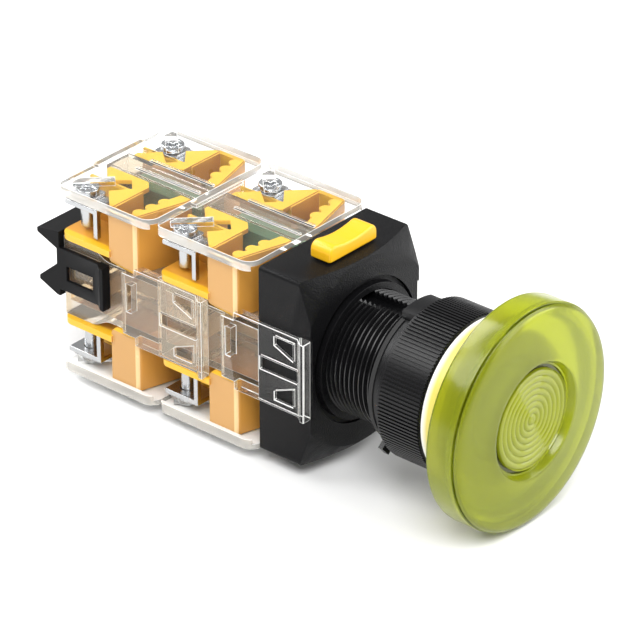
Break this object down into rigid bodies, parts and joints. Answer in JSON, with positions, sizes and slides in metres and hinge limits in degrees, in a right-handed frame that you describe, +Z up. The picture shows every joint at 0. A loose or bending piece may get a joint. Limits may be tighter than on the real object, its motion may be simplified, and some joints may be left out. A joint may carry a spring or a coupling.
{
  "type": "emergency stop switch",
  "caption": "Panel-mounted emergency stop switch: translucent mushroom head, threaded barrel, black base with a yellow lever, clear contact blocks and an end clip.",
  "frame": {"origin": "on the barrel's axis, in the flat front face of the base that faces the panel's back", "axes": "-Y towards the person who pushes, out of the panel; +Y towards the contact blocks; +Z up, towards the lever and the keyway; +X to the right seen from the front"},
  "size_m": [0.04, 0.098, 0.0406],
  "materials": {
    "cap_tint": "translucent yellow-green",
    "lens_tint": "translucent, rippled",
    "ring_white": "satin",
    "nut_black": "satin",
    "gasket_rubber": "matt",
    "barrel_black": "satin",
    "inner_plastic": "satin",
    "spring_steel": "bright",
    "lamp_glass": "frosted",
    "housing_black": "fine grain",
    "lever_yellow": "satin",
    "clip_black": "satin",
    "block_clear": "clear",
    "cover_clear": "clear",
    "shroud_orange": "satin",
    "terminal_steel": "plated",
    "actuator_green": "satin",
    "contact_brass": "bright"
  },
  "bodies": {
    "base": {"base_housing": "housing_black", "threaded_barrel": "barrel_black", "diffuser_ring": "ring_white", "latch_clip": "spring_steel", "return_spring": "spring_steel", "lamp_holder": "inner_plastic", "led_lamp": "lamp_glass", "end_clip": "clip_black", "front_block_body": "block_clear", "front_top_cover": "cover_clear", "front_bottom_cover": "cover_clear", "front_terminal_shrouds": "shroud_orange", "front_terminal_plates": "terminal_steel", "front_clamp_screws": "terminal_steel", "front_saddle_washers": "terminal_steel", "front_return_springs": "spring_steel", "rear_block_body": "block_clear", "rear_top_cover": "cover_clear", "rear_bottom_cover": "cover_clear", "rear_terminal_shrouds": "shroud_orange", "rear_terminal_plates": "terminal_steel", "rear_clamp_screws": "terminal_steel", "rear_saddle_washers": "terminal_steel", "rear_return_springs": "spring_steel"},
    "plunger": {"plunger_tube": "inner_plastic"},
    "head": {"mushroom_cap": "cap_tint", "lens_disc": "lens_tint"},
    "front_actuator": {"front_actuator": "actuator_green", "front_contact_bridges": "contact_brass", "front_contact_springs": "spring_steel"},
    "rear_actuator": {"rear_actuator": "actuator_green", "rear_contact_bridges": "contact_brass", "rear_contact_springs": "spring_steel"},
    "washer": {"locating_washer": "nut_black", "panel_gasket": "gasket_rubber"},
    "nut": {"knurled_nut": "nut_black"},
    "lever": {"lock_lever": "lever_yellow"},
    "bayonet": {"bayonet_ring": "spring_steel"}
  },
  "joints": [
    {"name": "push", "type": "slide", "parent": "base", "child": "plunger", "axis": [0, 1, 0], "range_m": [0, 0.004], "stiffness_N_per_m": 900, "springref_m": -0.005, "deforming": ["return_spring"]},
    {"name": "reset_twist", "type": "hinge", "parent": "plunger", "child": "head", "pos_m": [0, -0.03, 0], "axis": [0, 1, 0], "range_deg": [0, 45], "stiffness_Nm_per_rad": 0.05},
    {"name": "front_contact_slide", "type": "slide", "parent": "base", "child": "front_actuator", "axis": [0, 1, 0], "range_m": [0, 0.004], "deforming": ["front_return_springs"]},
    {"name": "rear_contact_slide", "type": "slide", "parent": "base", "child": "rear_actuator", "axis": [0, 1, 0], "range_m": [0, 0.004], "deforming": ["rear_return_springs"]},
    {"name": "washer_slide", "type": "slide", "parent": "base", "child": "washer", "axis": [0, 1, 0], "range_m": [0, 0.009]},
    {"name": "nut_turn", "type": "hinge", "parent": "washer", "child": "nut", "pos_m": [0, -0.018, 0], "axis": [0, 1, 0], "range_deg": [0, 3240]},
    {"name": "lever_slide", "type": "slide", "parent": "base", "child": "lever", "axis": [1, 0, 0], "range_m": [0, 0.005]},
    {"name": "bayonet_turn", "type": "hinge", "parent": "base", "child": "bayonet", "pos_m": [0, 0.00485, 0], "axis": [0, 1, 0], "range_deg": [0, 20.5]}
  ],
  "couplings": [
    {"joint": "front_contact_slide", "follows": "push", "ratio": 1},
    {"joint": "rear_contact_slide", "follows": "push", "ratio": 1},
    {"joint": "washer_slide", "follows": "nut_turn", "m_per_rad": 0.00015915},
    {"joint": "bayonet_turn", "follows": "lever_slide", "rad_per_m": 71.429}
  ]
}
